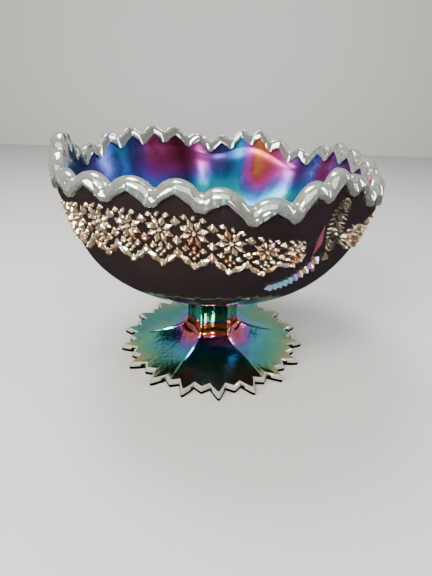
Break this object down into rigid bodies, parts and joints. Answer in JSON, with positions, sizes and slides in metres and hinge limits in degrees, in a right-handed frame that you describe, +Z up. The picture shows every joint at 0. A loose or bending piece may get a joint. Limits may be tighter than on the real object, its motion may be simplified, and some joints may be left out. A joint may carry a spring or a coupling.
{
  "type": "footed glass bowl",
  "caption": "Footed bowl of dark iridescent pressed glass with a clear scalloped rim, arched bands of diamond points, oval stars, a six-sided stem and a pointed foot.",
  "frame": {"origin": "centre of the foot's resting plane, under the middle of the bowl", "axes": "+Z up the axis of the stem and bowl; -Y is the side seen from the front, with a faceted swag just to its left"},
  "size_m": [0.1864, 0.1888, 0.1436],
  "materials": {
    "foot_glass": "dark pressed glass with a green, pink and gold iridescent skin",
    "dark_glass": "near-black amethyst glass with a blue, magenta and gold iridescent skin, fire-polished inside",
    "clear_rim": "thick clear fire-polished lip with a silvery skin",
    "gold_flashed_glass": "dark faceted glass with a cream and gold iridescent skin"
  },
  "bodies": {
    "root": {"foot": "foot_glass", "stem": "foot_glass", "bowl": "dark_glass", "scalloped_rim": "clear_rim", "faceted_swag_1": "gold_flashed_glass", "faceted_swag_2": "gold_flashed_glass", "faceted_swag_3": "gold_flashed_glass", "star_medallion_1": "gold_flashed_glass", "star_medallion_2": "gold_flashed_glass", "star_medallion_3": "gold_flashed_glass"}
  },
  "joints": []
}
